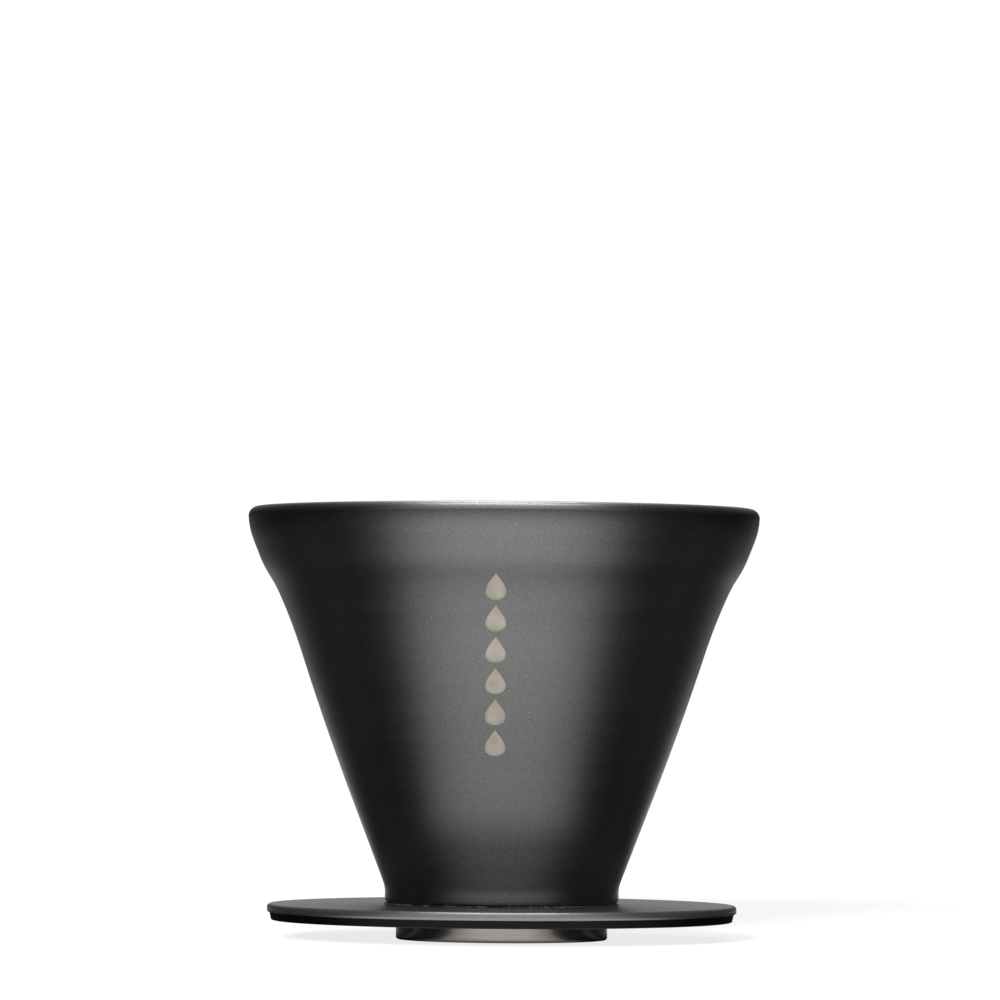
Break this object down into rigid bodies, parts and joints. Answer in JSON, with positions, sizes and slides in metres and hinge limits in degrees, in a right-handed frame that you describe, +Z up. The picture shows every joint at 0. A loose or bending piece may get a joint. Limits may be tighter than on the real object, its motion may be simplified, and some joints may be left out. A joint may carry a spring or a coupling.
{
  "type": "pour over dripper",
  "caption": "Double-wall steel pour over coffee dripper: coated flared body, ribbed steel filter cone with a drain, flat flange with a silicone pad, and a bare neck ring that drops into a mug.",
  "frame": {"origin": "centre of the neck ring's bottom edge, on the surface that the dripper stands on", "axes": "+Z up along the body's axis of rotation, -Y towards the marked front face, +X to the viewer's right"},
  "size_m": [0.1182, 0.1182, 0.0996],
  "materials": {
    "body_coat": "fine-grained satin charcoal powder coat",
    "plate_coat": "smooth satin charcoal powder coat",
    "bare_steel": "turned and brushed around the axis",
    "spring_steel": "rolled",
    "silicone": "matt",
    "gasket": "matt",
    "seal_bead": "fused solder glass",
    "getter_pellet": "pressed powder"
  },
  "bodies": {
    "root": {"outer_shell": "body_coat", "inner_cone": "bare_steel", "neck_ring": "bare_steel", "bottom_disc": "bare_steel", "vacuum_plug": "seal_bead", "getter_clip": "spring_steel", "getter": "getter_pellet", "base_plate": "plate_coat", "collar_gasket": "gasket", "retaining_ring": "spring_steel", "silicone_pad": "silicone"}
  },
  "joints": []
}
